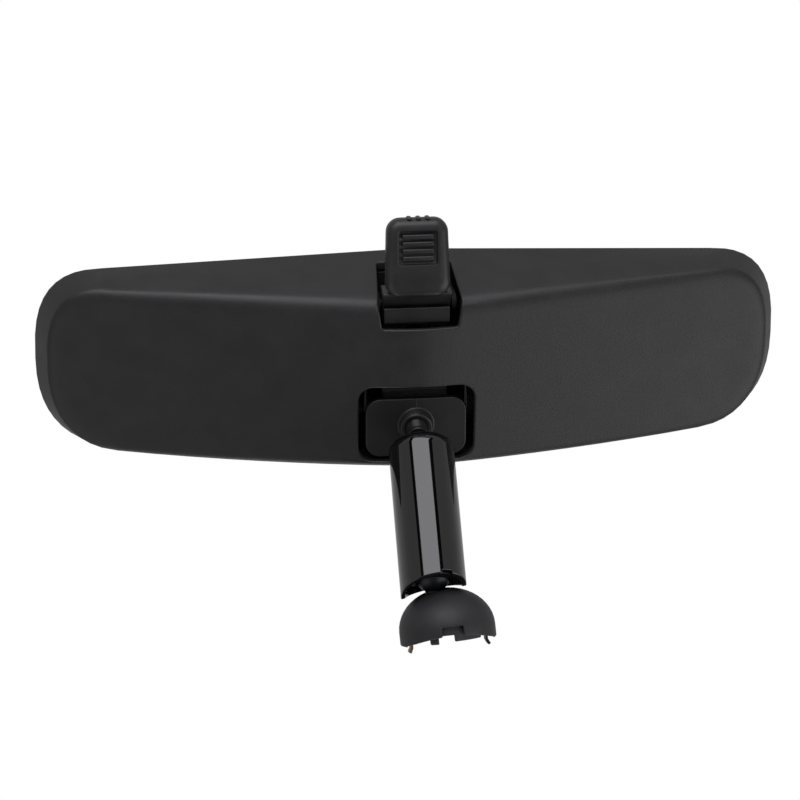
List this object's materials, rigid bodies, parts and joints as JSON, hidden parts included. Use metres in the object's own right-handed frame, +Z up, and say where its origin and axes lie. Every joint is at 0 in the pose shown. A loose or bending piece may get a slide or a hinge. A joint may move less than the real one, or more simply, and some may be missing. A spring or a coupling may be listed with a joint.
{
  "type": "interior rearview mirror",
  "caption": "Prismatic day/night interior rearview mirror with a thumb lever, on a double-ball tube arm with a domed windscreen mount.",
  "frame": {"origin": "middle of the seat face in the domed mount, where the windscreen button rests", "axes": "+Z up as installed, +Y ahead towards the windscreen, +X along the case's long side (the driver sees the glass looking along +Y; the thumb tab points down, -Z)"},
  "size_m": [0.25, 0.0901, 0.1311],
  "materials": {
    "case_plastic": "fine-textured moulded black ABS",
    "lever_plastic": "satin moulded black acetal",
    "bracket_plastic": "satin moulded black nylon",
    "dome_plastic": "satin moulded black plastic",
    "prism_glass": "polished wedge glass",
    "silvering": "silvered, lacquered behind",
    "foam_tape": "closed-cell foam tape",
    "rubber": "moulded rubber",
    "gloss_paint": "high-gloss black powder-coated aluminium",
    "black_steel": "phosphated spring steel",
    "steel": "turned zinc-plated steel",
    "spring_steel": "drawn spring wire",
    "nylon": "black acetal",
    "die_cast": "dark e-coated zinc die casting",
    "clip_brass": "dull brass-plated spring strip"
  },
  "bodies": {
    "mount": {"mount_dome": "dome_plastic", "mount_core": "die_cast", "retaining_clip_left": "clip_brass", "retaining_clip_right": "black_steel", "clip_screw_left": "steel", "clip_screw_right": "steel"},
    "mount_stud": {"mount_ball_stud": "steel"},
    "mount_cup": {"mount_ball_cup": "nylon"},
    "arm": {"arm_tube": "gloss_paint", "snap_ring": "black_steel", "arm_spring": "spring_steel", "head_spring_washer": "steel", "mount_spring_washer": "steel"},
    "head_cup": {"head_ball_cup": "nylon"},
    "head_stud": {"head_ball_stud": "steel"},
    "bracket": {"toggle_bracket": "bracket_plastic", "toggle_spring": "spring_steel"},
    "head": {"case_shell": "case_plastic", "mirror_glass": "prism_glass", "mirror_coating": "silvering", "adhesive_pad": "foam_tape", "backing_plate": "case_plastic", "hinge_pin": "steel", "lever_pin": "steel", "stop_pad_left": "rubber", "stop_pad_right": "rubber"},
    "lever": {"thumb_lever": "lever_plastic"}
  },
  "joints": [
    {"name": "mount_swivel", "type": "hinge", "parent": "mount", "child": "mount_stud", "pos_m": [-0.00411, -0.00539, -0.0148], "axis": [0.0698, 0.3412, 0.9374], "range_deg": [-25, 25]},
    {"name": "mount_pitch", "type": "hinge", "parent": "mount_stud", "child": "mount_cup", "pos_m": [-0.00411, -0.00539, -0.0148], "axis": [1, 0, 0], "range_deg": [-2, 30]},
    {"name": "arm_spin", "type": "hinge", "parent": "mount_cup", "child": "arm", "pos_m": [-0.00411, -0.00539, -0.0148], "axis": [0, 0.6947, 0.7193], "range_deg": [-10, 10]},
    {"name": "head_swing", "type": "hinge", "parent": "arm", "child": "head_cup", "pos_m": [-0.00411, -0.03491, -0.04537], "axis": [0, 0.6947, 0.7193], "range_deg": [-12, 12]},
    {"name": "head_pitch", "type": "hinge", "parent": "head_cup", "child": "head_stud", "pos_m": [-0.00411, -0.03491, -0.04537], "axis": [1, 0, 0], "range_deg": [-8, 25]},
    {"name": "head_roll", "type": "hinge", "parent": "head_stud", "child": "bracket", "pos_m": [-0.00411, -0.03491, -0.04537], "axis": [0, 0.9728, 0.2317], "range_deg": [-20, 20]},
    {"name": "day_night_tilt", "type": "hinge", "parent": "bracket", "child": "head", "pos_m": [-0.00411, -0.0606, -0.05137], "axis": [-1, 0, 0], "range_deg": [0, 2.8]},
    {"name": "lever_flip", "type": "hinge", "parent": "head", "child": "lever", "pos_m": [-0.00411, -0.0541, -0.09087], "axis": [-1, 0, 0], "range_deg": [0, 22]}
  ],
  "couplings": [
    {"joint": "lever_flip", "follows": "day_night_tilt", "ratio": 7.8571}
  ]
}
